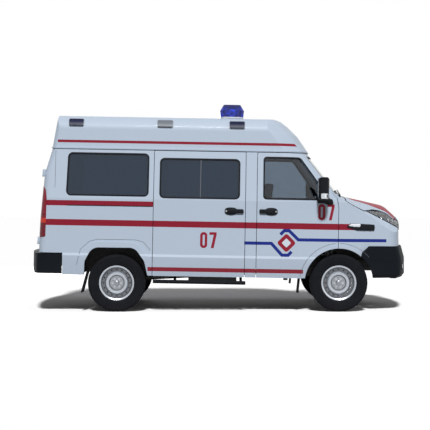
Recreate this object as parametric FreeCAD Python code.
"""Short-wheelbase high-roof ambulance van, as separate panels, glass, cab fittings and running gear.

Every piece is one STEP file in parts/. Millimetres, +X forward, +Y to the vehicle's left, +Z up.
The origin is on the ground, midway between the ends of the bumpers, on the centre plane.
The unladen van stands nose down: body, frame and engine are drawn level in a body frame and then
turned by RAKE_DEG about the origin's Y axis, while wheels and axles stand square on the ground.
"""
import FreeCAD, Part
import math
import os
from FreeCAD import Vector

# ---------------------------------------------------------------- driving dimensions
RAKE_DEG = 1.0            # nose-down stance of the unladen body
WALL = 50                 # doors, sides and rear wall, skin to trim
GAP = 7                   # shut line between panels

REAR_AXLE_X = -1287
FRONT_AXLE_X = 1513
TYRE_R = 362
TYRE_W = 215
TRACK_HALF = 855
RIM_R = 221               # over the flange
ARCH_R = 436              # front wheel opening

SILL_Z = 440
GUTTER_Z = 2028
DOOR_TOP_Z = 2016

DOOR_FRONT_X = 1485       # upright front edge of the cab door
DOOR_REAR_X = 461
SLIDER_FRONT_X = 310
SLIDER_REAR_X = -843
REAR_DOOR_HALF = 800      # half width of the rear door opening
REAR_DOOR_FOOT_Z = 762

FLOOR_Z = 680             # top of the load floor
FLOOR_T = 30
FLOOR_REAR_X = -2225

# Plan sections of the body, level by level. Columns:
# z, rear face x, half width, x where the side starts to turn in, front corner x, its half width, nose x
LOWER = [
    (440, -2280, 986, 1500, 2245, 800, 2352),
    (680, -2284, 1000, 1500, 2255, 812, 2362),
    (712, -2284, 988, 1500, 2255, 806, 2360),
    (1120, -2270, 976, 1500, 2245, 800, 2345),
    (1400, -2250, 968, 1500, 2200, 780, 2300),
    (1470, -2246, 957, 1500, 2170, 770, 2270),
]
UPPER = [
    (1470, -2246, 957, 1230, 1470, 800, 1588),
    (1700, -2234, 922, 1060, 1290, 768, 1402),
    (2028, -2146, 872, 800, 1030, 725, 1138),
]
BUMPER = [
    (458, 1560, 990, 1820, 2270, 790, 2415),
    (500, 1560, 1004, 1820, 2300, 800, 2441),
    (700, 1560, 1004, 1820, 2296, 800, 2436),
    (850, 1560, 994, 1820, 2262, 790, 2392),
]
# Corner radii in plan: rear corner, turn of the side, front corner
LOWER_R = (95, 1400, 190)
UPPER_R = (95, 320, 190)
BUMPER_R = (0, 380, 150)

# Bonnet surface from the windscreen to the nose. Columns: x, z on the centre plane, z at BONNET_EDGE_Y.
# Across the body it falls with the cube of the distance from the centre plane.
BONNET = [(1450, 1505, 1503), (1900, 1417, 1296), (2140, 1366, 1120), (2420, 1125, 820)]
BONNET_RADII = [0, 1500, 210, 0]
BONNET_EDGE_Y = 780
BONNET_STATIONS_Y = [-1010, -800, -640, -400, 0, 400, 640, 800, 1010]
BONNET_T = 26
BONNET_GAP = 15           # wider than GAP, as the lid moves forward while it lifts


# ---------------------------------------------------------------- drawing helpers
def on_xz(y):
    return lambda u, v: Vector(u, y, v)


def on_xy(z):
    return lambda u, v: Vector(u, v, z)


def on_yz(x):
    return lambda u, v: Vector(x, u, v)


def outline(points, radii, place):
    """Closed wire through points (u, v), each corner rounded by its radius (one number or a list)."""
    count = len(points)
    radii = radii if isinstance(radii, (list, tuple)) else [radii] * count
    corners = []
    for i, (u, v) in enumerate(points):
        here = Vector(u, v, 0)
        back = Vector(*points[i - 1], 0) - here
        ahead = Vector(*points[(i + 1) % count], 0) - here
        back.normalize()
        ahead.normalize()
        half = back.getAngle(ahead) / 2
        if radii[i] <= 0 or half > math.pi / 2 - 1e-4:
            corners.append((here, None, here))
            continue
        reach = radii[i] / math.tan(half)
        middle = back + ahead
        middle.normalize()
        rise = radii[i] / math.sin(half) - radii[i]
        corners.append((here + back * reach, here + middle * rise, here + ahead * reach))
    edges = []
    for i, (start, mid, end) in enumerate(corners):
        if mid is not None:
            edges.append(Part.Arc(*[place(p.x, p.y) for p in (start, mid, end)]).toShape())
        following = corners[(i + 1) % count][0]
        if (following - end).Length > 1e-4:
            edges.append(Part.LineSegment(place(end.x, end.y), place(following.x, following.y)).toShape())
    return Part.Wire(edges)


def prism(points, radii, place, along):
    return Part.Face(outline(points, radii, place)).extrude(Vector(*along))


def side_prism(points, radii, y0, y1):
    """Outline in the side view, pulled from y0 to y1."""
    return prism(points, radii, on_xz(y0), (0, y1 - y0, 0))


def box(x0, x1, y0, y1, z0, z1):
    return Part.makeBox(x1 - x0, y1 - y0, z1 - z0, Vector(x0, y0, z0))


def rod(start, end, radius):
    start, end = Vector(*start), Vector(*end)
    return Part.makeCylinder(radius, (end - start).Length, start, end - start)


def ring(radius, thickness, centre, axis):
    """Ring of eight-sided section about an axis."""
    turns = [math.radians(22.5 + 45 * i) for i in range(8)]
    section = [(radius + thickness * math.cos(a), thickness * math.sin(a)) for a in turns]
    shape = Part.Face(outline(section, 0, on_xz(0))).revolve(Vector(0, 0, 0), Vector(0, 0, 1), 360)
    shape.Placement = FreeCAD.Placement(centre, FreeCAD.Rotation(Vector(0, 0, 1), axis))
    return shape


def mirrored(shape):
    return shape.mirror(Vector(0, 0, 0), Vector(0, 1, 0))


def both(shape):
    return Part.makeCompound([shape, mirrored(shape)])


def fused(pieces):
    pieces = list(pieces)
    whole = pieces[0].multiFuse(pieces[1:]) if len(pieces) > 1 else pieces[0]
    return whole.removeSplitter()


def largest(shape, keep=1):
    """The biggest solids of a cut."""
    ranked = sorted(shape.Solids, key=lambda s: -s.Volume)[:keep]
    return ranked[0] if keep == 1 else Part.makeCompound(ranked)


def rounded_rect(x0, x1, z0, z1):
    return [(x0, z0), (x1, z0), (x1, z1), (x0, z1)]


# ---------------------------------------------------------------- body volumes
def bow(edge, half, crown):
    """Corner point and radius of a shallow arc across the body, from edge at half to crown on the centre plane."""
    sag = (crown - edge) / 1.15
    return edge + 2 * sag, 0.85 * (half * half + sag * sag) / (2 * abs(sag))


def plan_section(row, radii, inset):
    """Closed plan wire of one table row, set in by inset; the nose is an arc whose crown is at nose x."""
    level, rear, half, turn, corner, corner_half, nose = row
    rear_r, side_r, front_r = radii
    ri, hi = rear + inset, half - inset
    cx, cy = corner - inset, corner_half - inset * 0.6
    nose_x, nose_r = bow(cx, cy, nose - inset)
    right = [(ri, -hi), (turn, -hi), (cx, -cy), (nose_x, 0)]
    left = [(x, -y) for x, y in reversed(right[:-1])]
    rear_r, front_r = max(rear_r - inset, 30), front_r - inset
    return outline(right + left, [rear_r, side_r, front_r, nose_r, front_r, side_r, rear_r],
                   on_xy(level))


def under_bonnet(drop):
    """Everything behind the scuttle or below the bonnet surface, lowered by drop."""
    wires = []
    for y in BONNET_STATIONS_Y:
        fall = abs(y / BONNET_EDGE_Y) ** 3
        line = [(x - drop * (x > BONNET[0][0]), crown + (edge - crown) * fall - drop) for x, crown, edge in BONNET]
        points = [(-3000, 100), (-3000, 1800), (BONNET[0][0], 1800)] + line + [(line[-1][0], 100)]
        wires.append(outline(points, [0, 0, 0] + BONNET_RADII + [0], on_xz(y)))
    return Part.makeLoft(wires, True, False)


def beyond(row, neighbour, over):
    """A plan section's row carried on past its end by over, along the line from its neighbour."""
    t = over / abs(row[0] - neighbour[0])
    return tuple(a + (a - b) * t for a, b in zip(row, neighbour))


def lofted(rows, radii, inset, over=0):
    """Ruled loft through plan sections; over carries the two end faces on past their levels."""
    if over:
        rows = [beyond(rows[0], rows[1], over)] + rows[1:-1] + [beyond(rows[-1], rows[-2], over)]
    return Part.makeLoft([plan_section(row, radii, inset) for row in rows], True, True)


def hull(inset, over=0):
    """The closed body up to the gutter, with every face set in by inset; over opens its ends."""
    low = [beyond(LOWER[0], LOWER[1], over)] + LOWER[1:]
    high = UPPER[:-1] + [beyond(UPPER[-1], UPPER[-2], over)]
    low = lofted(low, LOWER_R, inset).common(under_bonnet(inset))
    return low.fuse(lofted(high, UPPER_R, inset))


def to_body(x, z):
    """A point of the side view, from the ground frame to the body frame."""
    turn = math.radians(RAKE_DEG)
    return x * math.cos(turn) - z * math.sin(turn), x * math.sin(turn) + z * math.cos(turn)


def raked(shape):
    """From the body frame to the ground frame."""
    turned = shape.copy()
    turned.rotate(Vector(0, 0, 0), Vector(0, 1, 0), RAKE_DEG)
    return turned


def grown(points, distance):
    """The outline with every side moved outwards by distance; points run anticlockwise."""
    moved = []
    count = len(points)
    for i, (u, v) in enumerate(points):
        pu, pv = points[i - 1]
        nu, nv = points[(i + 1) % count]
        a = Vector(u - pu, v - pv, 0).normalize()
        b = Vector(nu - u, nv - v, 0).normalize()
        out_a, out_b = Vector(a.y, -a.x, 0), Vector(b.y, -b.x, 0)
        scale = distance / (1 + out_a.dot(out_b))
        moved.append((u + (out_a.x + out_b.x) * scale, v + (out_a.y + out_b.y) * scale))
    return moved


# ---------------------------------------------------------------- openings and shut lines, side view
FRONT_ARCH = to_body(FRONT_AXLE_X, TYRE_R)
REAR_ARCH = [to_body(*p) for p in
             [(-1702, 300), (-1688, 640), (-1594, 814), (-1056, 808), (-936, 640), (-862, 300)]][::-1]
REAR_ARCH_RADII = [0, 120, 140, 140, 120, 0]

CAB_DOOR = [(DOOR_REAR_X, SILL_Z - 30), (DOOR_FRONT_X, SILL_Z - 30), (DOOR_FRONT_X, 1340), (1462, 1462),
            (1362, 1604), (1052, DOOR_TOP_Z), (DOOR_REAR_X, DOOR_TOP_Z)]
CAB_DOOR_RADII = [14, 14, 120, 60, 200, 24, 24]
# How far in the cab door reaches: past the side wall below, up to the windscreen pillar's corner above. (y, z)
CAB_DOOR_SECTION = [(-1200, 300), (-480, 300), (-480, 1400), (-778, 1470), (-746, 1700), (-703, 2028),
                    (-1200, 2028)]
CAB_WINDOW = [(533, 1424), (1405, 1424), (1340, 1512), (1008, 1966), (533, 1966)]
CAB_WINDOW_RADII = [45, 40, 40, 70, 45]
SLIDER = rounded_rect(SLIDER_REAR_X, SLIDER_FRONT_X, SILL_Z - 30, DOOR_TOP_Z)
SLIDER_WINDOW = rounded_rect(-775, 243, 1417, 1929)
QUARTER_WINDOW = [(-1951, 1431), (-908, 1431), (-908, 1981), (-1937, 1981)]
WINDOW_R = 62
WINDSCREEN = [(-742, 1512), (742, 1512), (668, 1984), (-668, 1984)]
WINDSCREEN_R = 75
REAR_DOOR = [(-REAR_DOOR_HALF, REAR_DOOR_FOOT_Z), (-8, REAR_DOOR_FOOT_Z), (-8, DOOR_TOP_Z),
             (-REAR_DOOR_HALF, DOOR_TOP_Z)]
REAR_WINDOW = [(-668, 1440), (-112, 1440), (-112, 1915), (-655, 1915)]
# Bonnet shut line in plan where it meets level BONNET_CUT_Z; the cut leans forward going up, along the
# front edge's own path as the bonnet lifts.
BONNET_CUT_Z = 1200
BONNET_LEAN = 0.39
BONNET_EDGE = [(1500, 912), (1775, 855), (1906, 655), (2010, 580), (2240, 562)]
BONNET_EDGE_RADII = [20, 90, 160, 160, 70]
BONNET_FRONT = 2300
LAMP_SIDE = [(1836, 1304), (2056, 1200), (2290, 1085), (2330, 1050), (2420, 1050), (2420, 1420), (1836, 1420)]
LAMP_PLAN = [(1836, -1100), (2420, -1100), (2420, -452), (2200, -452), (1836, -800)]
GRILLE = [(-425, 905), (425, 905), (425, 1128), (-425, 1128)]
GRILLE_RADII = [40, 40, 25, 25]
SLATS = 6
INTAKE = [(-390, 545), (390, 545), (420, 650), (-420, 650)]
BUMPER_SIDE = [(1700, 300), (2500, 300), (2500, 850), (1888, 850), (1800, 772)]


# The raised roof is a loft of plan sections, trimmed by its rounded side view and its rounded cross section.
# Columns as in LOWER.
ROOF = [
    (2042, -2150, 870, 830, 1042, 726, 1152),
    (2250, -2120, 852, 660, 880, 712, 1006),
    (2380, -2100, 842, 520, 738, 700, 870),
    (2440, -2092, 836, 430, 650, 690, 790),
    (2500, -2080, 832, 290, 495, 675, 640),
]
ROOF_SIDE = [(-2166, 1900), (1400, 1900), (1400, 2446), (-2076, 2468)]
ROOF_SIDE_RADII = [0, 0, 0, 50]
ROOF_SECTION = [(-879, 1900), (879, 1900), (826, 2440), (0, 2484), (-826, 2440)]
ROOF_SECTION_RADII = [0, 0, 190, 5000, 190]
ROOF_LAMPS_X = [(-1938, -1756), (-816, -624), (99, 288)]
REAR_BUMPER_EDGE, REAR_BUMPER_CROWN, REAR_BUMPER_HALF = -2296, -2441, 1004
REAR_BUMPER_TOP = 702
REAR_BUMPER_FRONT = -1985
REAR_BUMPER_SIDE = [(-1960, 440), (-2345, 440), (-2460, 530), (-2460, 720), (-1960, 720)]
# z, rear x, front x, half width
LIGHT_BAR = [(2440, -16, 271, 640), (2552, -28, 283, 652), (2632, 18, 237, 610)]
TAIL_LAMP = [(-2310, 900), (-2196, 911), (-2190, 1400), (-2204, 1500), (-2243, 1548), (-2310, 1548)]
RAIL_Y = (330, 400)       # chassis side rails
RAIL_Z = (520, FLOOR_Z - FLOOR_T)
TOW_EYES = [(2270, 462), (-2190, 462)]
TOW_EYE_R = 14
CROSSMEMBERS_X = [-2150, -1750, -860, -100, 700, 1610, 2240]
OUTRIGGERS_X = [-2150, -500, 380, 900]
STEER_Y = 780             # steering axis
SEAT_Y = 455


def front_arch(radius, y0=-1200, y1=-480):
    x, z = FRONT_ARCH
    return Part.makeCylinder(radius, y1 - y0, Vector(x, y0, z), Vector(0, 1, 0))


def rear_arch(growth=0, y0=-1200, y1=-480):
    radii = [r and r + growth for r in REAR_ARCH_RADII]
    return side_prism(grown(REAR_ARCH, growth) if growth else REAR_ARCH, radii, y0, y1)


def flares():
    """Raised lips round the wheel openings, one vehicle side."""
    skin = hull(-12).cut(hull(8, 200)).common(box(-3000, 3000, -1200, 0, 0, 3000))
    front = skin.common(front_arch(ARCH_R + 62)).cut(front_arch(ARCH_R - 5))
    front = front.common(box(1000, 3000, -1200, 0, SILL_Z + 4, 860))
    rear = skin.common(rear_arch(70)).cut(rear_arch(-5)).common(box(-3000, 3000, -1200, 0, SILL_Z + 4, 1000))
    return [front, rear]


def body_walls():
    """The skin and trim of the whole body as one hollow shell, wheel openings cut."""
    shell = hull(0).cut(hull(WALL, 200))
    right = flares()
    shell = shell.multiFuse(right + [mirrored(f) for f in right])
    cuts = [front_arch(ARCH_R), rear_arch()]
    return shell.cut(Part.makeCompound(cuts + [mirrored(c) for c in cuts]))


def bonnet_prism(growth):
    """All that the bonnet's shut line encloses, from 200 mm below the level where it is drawn."""
    apex, front_r = bow(BONNET_EDGE[-1][0], BONNET_EDGE[-1][1], BONNET_FRONT)
    plan = [(x, -y) for x, y in BONNET_EDGE] + [(apex, 0)] + BONNET_EDGE[::-1]
    radii = BONNET_EDGE_RADII + [front_r] + BONNET_EDGE_RADII[::-1]
    foot = [(x - 200 * BONNET_LEAN, y) for x, y in plan]
    return prism(grown(foot, growth), [r + growth for r in radii], on_xy(BONNET_CUT_Z - 200),
                 (600 * BONNET_LEAN, 0, 600))


def make_grille(walls):
    """Frame and slats that fill the opening of the front panel."""
    opening = prism(GRILLE, GRILLE_RADII, on_yz(2100), (400, 0, 0))
    inner = prism(grown(GRILLE, -16), [r - 12 for r in GRILLE_RADII], on_yz(2100), (400, 0, 0))
    layer = hull(4).cut(hull(38, 200))
    foot, head = GRILLE[0][1] + 16, GRILLE[2][1] - 16
    pitch = (head - foot) / (SLATS + 1)
    bars = [largest(walls.common(opening).cut(inner))]
    for i in range(1, SLATS + 1):
        bars.append(largest(layer.common(box(2100, 2500, -420, 420, foot + i * pitch - 7, foot + i * pitch + 7))))
    bars += [largest(layer.common(box(2100, 2500, y - 6, y + 6, foot - 4, head + 4))) for y in (-210, 0, 210)]
    return fused(bars).common(opening)


def cab_door_prism(growth):
    """The space of the right-hand cab door, grown by a shut line."""
    side = side_prism(grown(CAB_DOOR, growth), [r + growth for r in CAB_DOOR_RADII], -1200, -480)
    return side.common(prism(grown(CAB_DOOR_SECTION, growth), 0, on_yz(0), (2000, 0, 0)))


def pane(layer, cutter):
    """A sheet of glass: the part of a thin layer of the hull inside a window's cutter."""
    return largest(layer.common(cutter))


# ---------------------------------------------------------------- body panels
def make_body():
    """Fixed panels, doors and glass, all in the body frame: {node: shape}."""
    walls = body_walls()
    glass_layer = hull(9).cut(hull(15, 200))
    right_half = box(-3000, 3000, -1200, 0, 0, 3000)
    right = walls.common(right_half)

    cab_door_cut, cab_door_hole = cab_door_prism(0), cab_door_prism(GAP)
    cab_window = side_prism(CAB_WINDOW, CAB_WINDOW_RADII, -1200, -480)
    slider_hole = side_prism(grown(SLIDER, GAP), 20, -1200, -480)
    slider_cut = side_prism(SLIDER, 14, -1200, -480)
    slider_window = side_prism(SLIDER_WINDOW, WINDOW_R, -1200, -480)
    quarter_window = side_prism(QUARTER_WINDOW, WINDOW_R, -1200, -480)
    windscreen = prism(WINDSCREEN, WINDSCREEN_R, on_yz(1000), (900, 0, 0))
    rear_door_cut = prism(REAR_DOOR, 16, on_yz(-2500), (500, 0, 0))
    rear_window = prism(REAR_WINDOW, 50, on_yz(-2500), (500, 0, 0))
    bumper_zone = side_prism(grown(BUMPER_SIDE, GAP), 0, -1200, 1200)
    rear_bumper_zone = box(-2600, REAR_BUMPER_FRONT + GAP, -1200, 1200, 0, 712)
    bonnet_cut, bonnet_hole = bonnet_prism(0), bonnet_prism(BONNET_GAP)

    made = {}
    made["cab_door_right"] = largest(right.common(cab_door_cut).cut(cab_window))
    made["cab_glass_right"] = pane(glass_layer, cab_window)
    made["sliding_door"] = largest(right.common(slider_cut).cut(slider_window))
    panes = [pane(glass_layer, slider_window), pane(glass_layer, quarter_window)]
    panes += [mirrored(p) for p in panes]
    made["side_windows"] = Part.makeCompound(panes)

    side_zone = box(-3000, DOOR_REAR_X - GAP, -1200, -(REAR_DOOR_HALF + GAP), 0, GUTTER_Z)
    side = right.common(side_zone).cut(rear_bumper_zone).cut(quarter_window)
    lamp_zone = side_prism(TAIL_LAMP, [0, 20, 300, 60, 40, 0], -1200, -(REAR_DOOR_HALF + GAP))
    made["tail_lamps"] = both(largest(hull(-5).cut(hull(30, 200)).common(lamp_zone)))
    side = side.cut(lamp_zone.cut(hull(30)))
    made["side_panel_right"] = largest(side.cut(slider_hole))
    made["side_panel_left"] = mirrored(largest(side.cut(slider_window)))

    rear_door = right.common(rear_door_cut).cut(rear_window)
    made["rear_door_right"] = largest(rear_door)
    made["rear_glass_right"] = pane(glass_layer, rear_window)
    sill_zone = box(-3000, -2100, -REAR_DOOR_HALF - GAP, REAR_DOOR_HALF + GAP, 712, REAR_DOOR_FOOT_Z - GAP)
    made["rear_sill"] = largest(walls.common(sill_zone))

    upper_zone = box(DOOR_REAR_X - GAP, 3000, -1200, 1200, 1405, GUTTER_Z)
    doors = cab_door_hole.fuse(mirrored(cab_door_hole))
    frame = walls.common(upper_zone).cut(doors).cut(windscreen).cut(bonnet_hole)
    made["windscreen_frame"] = largest(frame)
    made["windscreen"] = pane(glass_layer, windscreen)

    nose_zone = box(DOOR_FRONT_X, 3000, -1200, 1200, 0, 1600)
    nose = walls.common(nose_zone)
    made["bonnet"] = largest(under_bonnet(0).common(bonnet_cut).cut(under_bonnet(BONNET_T)))
    lamp_zone = prism(LAMP_SIDE, 0, on_xz(-1200), (0, 1200, 0))
    lamp_zone = lamp_zone.common(prism(LAMP_PLAN, 0, on_xy(900), (0, 0, 700)))
    below = nose.common(box(0, 3000, -1200, 1200, 0, 1405)).cut(bonnet_hole).cut(bumper_zone).cut(doors)
    lamp = largest(below.common(lamp_zone))
    below = below.cut(lamp_zone).cut(mirrored(lamp_zone))
    made["front_fenders"] = both(largest(below.common(box(0, 3000, -1200, -702, 0, 1405))))
    panel = largest(below.common(box(0, 3000, -700, 700, 0, 1405)))
    made["front_panel"] = panel.cut(prism(GRILLE, GRILLE_RADII, on_yz(2100), (400, 0, 0)))
    made["grille"] = make_grille(panel)
    made["headlamps"] = both(lamp)
    return made


def roof_solid(inset, foot=0):
    """The raised roof as a solid, faces set in by inset, its foot lowered by foot."""
    rows = [beyond(ROOF[0], ROOF[1], foot)] + ROOF[1:] if foot else ROOF
    side = side_prism(grown(ROOF_SIDE, -inset), [r and max(r - inset, 20) for r in ROOF_SIDE_RADII], -1200, 1200)
    section = prism(grown(ROOF_SECTION, -inset), [r and r - inset for r in ROOF_SECTION_RADII],
                    on_yz(-2400), (4000, 0, 0))
    return lofted(rows, UPPER_R, inset).common(side).common(section)


def make_roof():
    """Raised roof, drip rail, light bar and side lamps, body frame."""
    made = {}
    outer = roof_solid(0)
    made["raised_roof"] = largest(outer.cut(roof_solid(30, 60)))
    rail_row = (2028,) + tuple(UPPER[-1][1:])
    outside = Part.Face(plan_section(rail_row, UPPER_R, -13)).extrude(Vector(0, 0, 14))
    inside = Part.Face(plan_section(rail_row, UPPER_R, 48)).extrude(Vector(0, 0, 14))
    made["drip_rail"] = outside.cut(inside)
    bar = Part.makeLoft([outline([(x0, -half), (x1, -half), (x1, half), (x0, half)], 45, on_xy(z))
                         for z, x0, x1, half in LIGHT_BAR], True, True)
    made["light_bar"] = largest(bar.cut(outer))
    swollen = roof_solid(-26)
    lamps = []
    for x0, x1 in ROOF_LAMPS_X:
        lens = prism(rounded_rect(x0, x1, 2325, 2408), 14, on_xz(-1200), (0, 500, 0)).common(swollen)
        lens = largest(lens.cut(outer))
        lamps += [lens, mirrored(lens)]
    made["roof_lamps"] = Part.makeCompound(lamps)
    return made


def rear_bumper_solid(inset, front_x, z0, z1):
    """Bowed plan of the rear bumper, faces set in by inset, between two levels."""
    edge, half = REAR_BUMPER_EDGE + inset, REAR_BUMPER_HALF - inset
    apex, crown_r = bow(edge, half, REAR_BUMPER_CROWN + inset)
    plan = [(front_x, -half), (edge, -half), (apex, 0), (edge, half), (front_x, half)]
    return prism(plan, [0, 110 - inset, crown_r, 110 - inset, 0], on_xy(z0), (0, 0, z1 - z0))


def make_bumpers():
    """Front bumper shell with its lower intake, and the bowed rear step bumper."""
    made = {}
    shell = lofted(BUMPER, BUMPER_R, 0).cut(lofted(BUMPER, BUMPER_R, 42, 200))
    shell = shell.common(side_prism(BUMPER_SIDE, [0, 0, 0, 30, 60], -1200, 1200))
    for arch in (front_arch(ARCH_R), mirrored(front_arch(ARCH_R))):
        shell = shell.cut(arch)
    made["front_bumper"] = largest(shell)
    shell = made["front_bumper"].cut(prism(INTAKE, 30, on_yz(2200), (400, 0, 0)))
    slat = lofted(BUMPER, BUMPER_R, 8).cut(lofted(BUMPER, BUMPER_R, 38, 200))
    slats = [slat.common(box(2200, 2500, -425, 425, z - 8, z + 8)) for z in (580, 615)]
    made["front_bumper"] = fused([shell] + [largest(bar) for bar in slats])
    bar = rear_bumper_solid(0, REAR_BUMPER_FRONT, 452, REAR_BUMPER_TOP)
    bar = bar.common(side_prism(REAR_BUMPER_SIDE, 0, -1200, 1200))
    hollow = rear_bumper_solid(44, -1900, 400, REAR_BUMPER_TOP - 44)
    floor_end = box(FLOOR_REAR_X - GAP, -1900, -950, 950, FLOOR_Z - FLOOR_T - GAP, 800)
    made["rear_bumper"] = largest(bar.cut(hollow).cut(floor_end))
    return made


def make_inside():
    """Floor, wheel housings, firewall and cab and patient fittings, body frame."""
    made = {}
    inner = hull(WALL)
    clear = hull(WALL + 8)
    rear_house = box(-1730, -830, -1200, -620, 300, 862)
    rear_space = box(-1715, -845, -1200, -635, 200, 847)
    house = rear_house.common(clear).cut(rear_space).common(box(-3000, 3000, -1200, 0, 455, 900))
    front_house = front_arch(490, -1200, -545).cut(front_arch(476, -1300, -400)).common(clear)
    front_house = front_house.common(box(0, 1950, -1200, 0, 470, 1000))
    made["wheel_housings"] = Part.makeCompound([largest(house), mirrored(largest(house)),
                                                largest(front_house), mirrored(largest(front_house))])
    floor = inner.common(box(FLOOR_REAR_X, 1440, -1200, 1200, FLOOR_Z - FLOOR_T, FLOOR_Z))
    front_house = front_arch(490, -1200, -545)
    for shape in (rear_house, mirrored(rear_house), front_house, mirrored(front_house)):
        floor = floor.cut(shape)
    made["floor_pan"] = largest(floor)
    wall = clear.common(box(1440, 1456, -1200, 1200, FLOOR_Z - FLOOR_T, 1398))
    for shape in (front_arch(490, -1200, -400), mirrored(front_arch(490, -1200, -400))):
        wall = wall.cut(shape)
    made["firewall"] = largest(wall)
    fascia = [(1440, 1000), (1440, 1390), (1330, 1390), (1190, 1330), (1150, 1250), (1200, 1090), (1330, 1000)]
    made["dashboard"] = side_prism(fascia, [0, 0, 30, 40, 40, 60, 0], -870, 870)
    seats = []
    for y in (-SEAT_Y, SEAT_Y):
        cushion = side_prism([(500, 920), (1010, 960), (1010, 1075), (500, 1040)], [20, 20, 50, 20],
                             y - 250, y + 250)
        back = side_prism([(500, 980), (610, 980), (520, 1640), (430, 1640)], [20, 20, 35, 35],
                          y - 240, y + 240)
        head = side_prism([(440, 1650), (520, 1650), (505, 1830), (435, 1830)], 25, y - 130, y + 130)
        stem = box(460, 490, y - 60, y + 60, 1600, 1700)
        base = box(560, 960, y - 200, y + 200, FLOOR_Z, 955)
        seats.append(fused([cushion, back, head, stem, base]))
    made["cab_seats"] = Part.makeCompound(seats)
    tilt = Vector(-0.50, 0, 0.866)
    hub = Vector(1075, SEAT_Y, 1330)
    rim = ring(195, 15, hub, tilt)
    spokes = Part.makeCylinder(50, 26, hub - tilt * 26, tilt)
    for turn in (90, 210, 330):
        across = tilt.cross(Vector(0, 1, 0)).normalize()
        reach = Vector(0, 1, 0) * math.cos(math.radians(turn)) + across * math.sin(math.radians(turn))
        spokes = spokes.fuse(rod(hub - tilt * 12, hub - tilt * 12 + reach * 190, 11))
    column = rod(hub - tilt * 20, hub - tilt * 20 + (Vector(1300, SEAT_Y, 1100) - hub), 24)
    made["steering_wheel"] = fused([rim, spokes, column]).cut(made["dashboard"])
    made["steering_wheel"] = largest(made["steering_wheel"])
    bulkhead = inner.common(box(340, 360, -1200, 1200, FLOOR_Z, 2028))
    bulkhead = bulkhead.cut(box(300, 400, -330, 330, 1450, 1860)).cut(box(300, 400, 420, 800, 1450, 1860))
    made["partition"] = largest(bulkhead)
    bed = box(-1950, -40, 60, 620, 980, 1060)
    legs = [box(x, x + 60, y, y + 50, FLOOR_Z, 980) for x in (-1860, -250) for y in (110, 520)]
    stretcher = fused([bed] + legs)
    cabinet = fused([box(-800, 335, 640, 905, FLOOR_Z, 1330), box(-800, 335, 640, 850, 1330, 1400)])
    seat = fused([box(-2000, -1750, -600, -180, FLOOR_Z, 1040), box(-2000, -1600, -600, -180, 1040, 1120),
                  box(-2080, -2000, -600, -180, 1000, 1640)])
    made["patient_fittings"] = Part.makeCompound([stretcher, cabinet, seat])
    return made


def make_chassis():
    """Ladder frame of pieces that meet face to face, engine, tanks and exhaust, body frame."""
    made = {}
    inside, outside = RAIL_Y
    z0, z1 = RAIL_Z
    crossmembers = [box(x, x + 70, -inside, inside, z0, z0 + 90) for x in CROSSMEMBERS_X]
    right = [box(-2240, 2330, -outside, -inside, z0, z1)]
    right += [box(x, x + 60, -925, -outside, z1 - 60, z1) for x in OUTRIGGERS_X]
    right += [box(2330, 2340, -480, -250, 500, 690), box(-2290, -2240, -480, -250, 500, 655)]
    for x, z in TOW_EYES:
        lug = box(x - 45, x + 45, -375, -355, z - 40, z0)
        right.append(lug.cut(rod((x, -395, z), (x, -335, z), TOW_EYE_R)))
    made["chassis_frame"] = Part.makeCompound(crossmembers + right + [mirrored(piece) for piece in right])
    engine = fused([box(1520, 2120, -270, 270, 612, 1120), box(1390, 1540, -210, 210, 522, 640),
                    box(1010, 1400, -150, 150, 420, 640)])
    made["engine_block"] = Part.makeCompound([engine, box(2180, 2225, -325, 325, 615, 1090)])
    made["fuel_tank"] = Part.makeCompound([box(-480, 360, 470, 860, 420, 590),
                                           box(-393, 217, -880, -520, 350, 590)])
    pipe = [rod((1300, 190, 440), (-400, 230, 440), 26), rod((-1050, 230, 440), (-390, 230, 440), 78)]
    pipe += [rod((-1050, 230, 440), (-1130, 230, 440), 26)]
    made["exhaust"] = fused(pipe)
    return made


# Half sections of tyre and rim about the wheel's middle plane. Columns: distance outwards, radius.
TYRE_SECTION = [(-82, 214), (-TYRE_W / 2, 258), (-TYRE_W / 2, 316), (-92, TYRE_R - 9), (-68, TYRE_R), (68, TYRE_R),
                (92, TYRE_R - 9), (TYRE_W / 2, 316), (TYRE_W / 2, 258), (82, 214)]


RIM_SECTION = [(-92, RIM_R), (-84, 206), (-40, 184), (20, 184), (84, 206), (92, RIM_R), (92, 212), (86, 199),
               (52, 192), (44, 184), (44, 152), (66, 132), (61, 98), (46, 86), (46, 32), (38, 32), (38, 92),
               (53, 104), (57, 126), (34, 150), (34, 176), (-38, 176), (-86, 199)]
HAND_HOLES = 16


def wheel_solid(section, x):
    """A half section turned about the wheel's axle line, on the right-hand side."""
    face = Part.Face(outline([(-TRACK_HALF - u, v) for u, v in section], 0, lambda u, v: Vector(x, u, TYRE_R + v)))
    return face.revolve(Vector(x, 0, TYRE_R), Vector(0, 1, 0), 360)


def make_wheels():
    """Rims and tyres, ground frame: {name: shape}."""
    made = {}
    for end, x in (("front", FRONT_AXLE_X), ("rear", REAR_AXLE_X)):
        tyre = wheel_solid(TYRE_SECTION, x)
        rim = wheel_solid(RIM_SECTION, x)
        holes = []
        for i in range(HAND_HOLES):
            a = 2 * math.pi * i / HAND_HOLES
            at = Vector(x + 168 * math.cos(a), -TRACK_HALF - 100, TYRE_R + 168 * math.sin(a))
            holes.append(Part.makeCylinder(9, 90, at, Vector(0, 1, 0)))
        rim = rim.cut(Part.makeCompound(holes))
        for side, change in (("right", lambda s: s), ("left", mirrored)):
            made[f"tyre_{end}_{side}"] = change(tyre)
            made[f"rim_{end}_{side}"] = change(rim)
    return made


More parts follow.
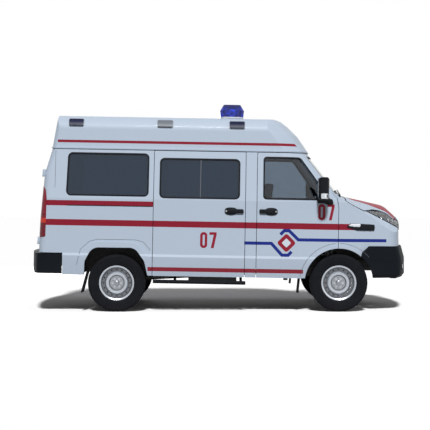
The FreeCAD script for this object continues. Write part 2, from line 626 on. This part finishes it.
def make_axles():
    """Rear axle and springs, front suspension and steering knuckles, ground frame."""
    made = {}
    x, z = REAR_AXLE_X, TYRE_R
    beam = [rod((x, -740, z), (x, 740, z), 52), rod((x, -60, z), (x, 60, z), 158)]
    beam += [Part.makeCone(158, 60, 110, Vector(x, s * 60, z), Vector(0, s, 0)) for s in (-1, 1)]
    beam.append(rod((x + 120, 0, z), (1008, 0, 470), 34))
    for s in (-1, 1):
        beam.append(rod((x, s * 700, z), (x, s * 846, z), 140))
        beam.append(rod((x, s * 846, z), (x, s * 893, z), 78))
        beam.append(rod((x, s * 893, z), (x, s * 925, z), 30))
    made["rear_axle"] = fused(beam)
    springs = []
    for s in (-1, 1):
        y = s * 565
        leaf = side_prism([(-1990, 560), (-1287, 440), (-640, 545), (-640, 575), (-1287, 470), (-1990, 590)],
                          [0, 900, 0, 0, 900, 0], y - 35, y + 35)
        seat = box(x - 70, x + 70, y - 40, y + 40, z + 52, 460)
        hangers = [rod((end, s * RAIL_Y[1], level), (end, s * 600, level), 22)
                   for end, level in ((-1985, 575), (-645, 560))]
        springs.append(fused([leaf, seat] + hangers))
    made["leaf_springs"] = Part.makeCompound(springs)
    x = FRONT_AXLE_X
    arms = [box(x - 90, x + 90, -400, 400, 395, 488)]
    for s in (-1, 1):
        for dx in (-150, 150):
            arms.append(rod((x + dx, s * 380, 300), (x, s * 740, 240), 20))
            arms.append(rod((x + dx * 0.5, s * 390, 466), (x, s * 740, 500), 16))
        arms.append(rod((x - 180, s * 380, 300), (x + 180, s * 380, 300), 26))
        y = sorted((s * 350, s * 400))
        arms.append(box(x - 40, x + 40, y[0], y[1], 290, 420))
        arms.append(rod((x, s * 740, 240), (x, s * 745, 240), 24))
    made["front_suspension"] = fused(arms)
    pins = [rod((x, -STEER_Y, z - 148), (x, -STEER_Y, z + 148), 22), rod((x, -700, z), (x, -846, z), 62),
            rod((x, -806, z), (x, -830, z), 150), rod((x, -846, z), (x, -893, z), 70),
            rod((x, -893, z), (x, -925, z), 30)]
    made["knuckle_right"] = fused(pins)
    made["knuckle_left"] = mirrored(made["knuckle_right"])
    return made


def make_outside():
    """Mirrors, handles, step, mud flaps and small trim. Body frame unless raked by its own maker."""
    made = {}
    skin = hull(0)
    for name, x0, x1, z0, z1 in (("cab_handle", 483, 724, 1228, 1324), ("slider_handle", 53, 294, 1227, 1323)):
        grip = side_prism(rounded_rect(x0, x1, z0, z1), 47, -1012, -900).common(hull(-22)).cut(skin)
        made[name + "_right"] = largest(grip)
    made["cab_handle_left"] = mirrored(made["cab_handle_right"])
    housing = prism([(1214, -1035), (1214, -1215), (1330, -1205), (1352, -1120), (1352, -1035)],
                    [25, 40, 60, 40, 25], on_xy(1400), (0, 0, 330))
    housing = housing.common(side_prism([(1225, 1425), (1345, 1420), (1352, 1715), (1214, 1715)], 42, -1300, -900))
    arm = rod((1310, -1060, 1450), (1372, -955, 1405), 22)
    foot = side_prism([(1310, 1375), (1425, 1375), (1405, 1440), (1330, 1450)], 18, -985, -900).cut(skin)
    made["mirror_right"] = largest(fused([housing, arm, foot]).cut(skin))
    made["mirror_left"] = mirrored(made["mirror_right"])
    trim = prism([(1587, 1095), (1735, 1052), (1953, 1052), (1953, 1128), (1735, 1140), (1640, 1140)], [10, 20, 10, 10, 20, 10],
                 on_xz(-1100), (0, 300, 0)).common(hull(-10)).cut(skin)
    made["side_repeaters"] = both(largest(trim))
    step = [rod((-835, -1000, 372), (328, -1000, 372), 24)]
    for x in (-560, 270):
        step.append(rod((x, -1000, 372), (x, -930, 395), 17))
        step.append(rod((x, -930, 395), (x, -405, 540), 17))
    made["side_step"] = fused(step)
    flaps = []
    for x0, x1, z0, z1, y in ((-1668, -1738, 500, 243, -960), (1010, 985, 470, 235, -915)):
        flap = side_prism([(x0, z0), (x1, z1), (x1 + 22, z1), (x0 + 22, z0)], 0, y, -745)
        flaps += [flap, mirrored(flap)]
    made["mud_flaps"] = Part.makeCompound(flaps)
    return made


def main():
    os.makedirs("parts", exist_ok=True)
    body = {}
    for maker in (make_body, make_roof, make_bumpers, make_inside, make_chassis, make_outside):
        body.update(maker())
    for name in ("cab_door", "cab_glass", "rear_door", "rear_glass"):
        body[name + "_left"] = mirrored(body[name + "_right"])
    flaps = body.pop("mud_flaps")
    nodes = {name: raked(shape) for name, shape in body.items()}
    nodes["mud_flaps"] = flaps
    nodes.update(make_wheels())
    nodes.update(make_axles())
    for name, shape in nodes.items():
        shape.exportStep(f"parts/{name}.step")
        print(name, shape.isValid(), len(shape.Solids), round(shape.Volume / 1e6, 2))


if __name__ == "__main__":
    main()
